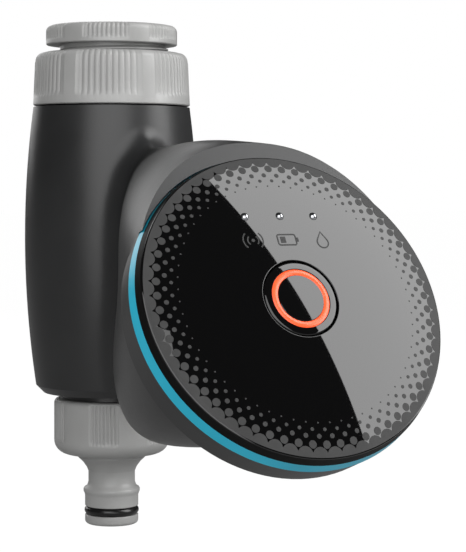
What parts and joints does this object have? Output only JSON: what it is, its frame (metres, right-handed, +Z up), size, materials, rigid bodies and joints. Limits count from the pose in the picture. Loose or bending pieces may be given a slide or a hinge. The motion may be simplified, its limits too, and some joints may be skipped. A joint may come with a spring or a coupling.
{
  "type": "smart water timer",
  "caption": "Tap-mounted watering timer: union nut and barrel valve above a push-fit hose nipple, with a tilted round control face, status lights and a ringed push button.",
  "frame": {"origin": "centre of the tap adaptor's mouth, where the tap's thread enters", "axes": "+Z up along the barrel's axis, -Y towards the front where the control face looks, X across"},
  "size_m": [0.082, 0.1578, 0.1469],
  "materials": {
    "fitting_grey": "moulded, satin",
    "case_grey": "moulded, satin",
    "valve_black": "moulded",
    "face_black": "polished",
    "trim_turquoise": "satin gloss",
    "ring_orange": "satin",
    "seal_rubber": "matt",
    "lens_chrome": "bright",
    "steel": "plain",
    "copper": "wound",
    "board_green": "laminate",
    "cell_skin": "sleeve",
    "nylon_white": "moulded"
  },
  "bodies": {
    "timer_case": {"inlet_washer": "seal_rubber", "inlet_filter": "nylon_white", "nut_clip_ring": "nylon_white", "valve_body": "valve_black", "diaphragm": "seal_rubber", "diaphragm_spring": "steel", "valve_bonnet": "valve_black", "bonnet_screws": "steel", "solenoid_tube": "steel", "plunger_spring": "steel", "fixed_core": "steel", "solenoid_coil": "copper", "coil_yoke": "steel", "latch_magnet": "steel", "front_shell": "case_grey", "rear_shell": "case_grey", "case_screws": "steel", "contact_plate": "steel", "trim_ring": "trim_turquoise", "bezel_ring": "face_black", "face_panel": "face_black", "face_gasket": "seal_rubber", "control_frame": "valve_black", "frame_screws": "steel", "control_board": "board_green", "board_screws": "steel", "light_chips": "nylon_white", "status_lens_1": "lens_chrome", "status_lens_2": "lens_chrome", "status_lens_3": "lens_chrome", "radio_module": "steel", "tact_switch": "valve_black", "button_spring": "steel"},
    "union_nut": {"inlet_nut": "fitting_grey"},
    "adaptor": {"tap_adaptor": "fitting_grey", "tap_washer": "seal_rubber"},
    "connector_seal": {"connector_washer": "seal_rubber"},
    "connector": {"hose_connector": "fitting_grey", "hose_oring": "seal_rubber"},
    "drawer": {"battery_drawer": "case_grey", "drawer_seal": "seal_rubber", "battery_cell_1": "cell_skin", "battery_cell_2": "cell_skin", "battery_cell_3": "cell_skin", "contact_springs": "steel"},
    "button": {"button_cap": "face_black", "button_ring": "ring_orange"},
    "switch_tip": {"switch_plunger": "nylon_white"},
    "plunger": {"solenoid_plunger": "steel"},
    "valve_hub": {"diaphragm_hub": "nylon_white"}
  },
  "joints": [
    {"name": "nut_turn", "type": "hinge", "parent": "timer_case", "child": "union_nut", "pos_m": [0, 0, -0.0234], "axis": [0, 0, -1], "range_deg": [0, 1080]},
    {"name": "adaptor_lift", "type": "slide", "parent": "timer_case", "child": "adaptor", "axis": [0, 0, 1], "range_m": [0, 0.00693]},
    {"name": "connector_drop", "type": "slide", "parent": "timer_case", "child": "connector_seal", "axis": [0, 0, -1], "range_m": [0, 0.00907]},
    {"name": "connector_turn", "type": "hinge", "parent": "connector_seal", "child": "connector", "pos_m": [0, 0, -0.1094], "axis": [0, 0, -1], "range_deg": [0, 1800]},
    {"name": "drawer_pull", "type": "slide", "parent": "timer_case", "child": "drawer", "axis": [0, 0, -1], "range_m": [0, 0.055]},
    {"name": "button_press", "type": "slide", "parent": "timer_case", "child": "button", "axis": [0, 0.8854, -0.4648], "range_m": [0, 0.0008], "stiffness_N_per_m": 1200, "deforming": ["button_spring"]},
    {"name": "switch_press", "type": "slide", "parent": "timer_case", "child": "switch_tip", "axis": [0, 0.8854, -0.4648], "range_m": [0, 0.0008]},
    {"name": "plunger_pull", "type": "slide", "parent": "timer_case", "child": "plunger", "axis": [0, -1, 0], "range_m": [0, 0.0015], "stiffness_N_per_m": 400, "deforming": ["plunger_spring"]},
    {"name": "valve_lift", "type": "slide", "parent": "timer_case", "child": "valve_hub", "axis": [0, -1, 0], "range_m": [0, 0.002], "deforming": ["diaphragm_spring"]}
  ],
  "couplings": [
    {"joint": "adaptor_lift", "follows": "nut_turn", "m_per_rad": 0.00036749},
    {"joint": "connector_drop", "follows": "connector_turn", "m_per_rad": 0.00028871},
    {"joint": "switch_press", "follows": "button_press", "ratio": 1},
    {"joint": "valve_lift", "follows": "plunger_pull", "ratio": 1.3333}
  ]
}
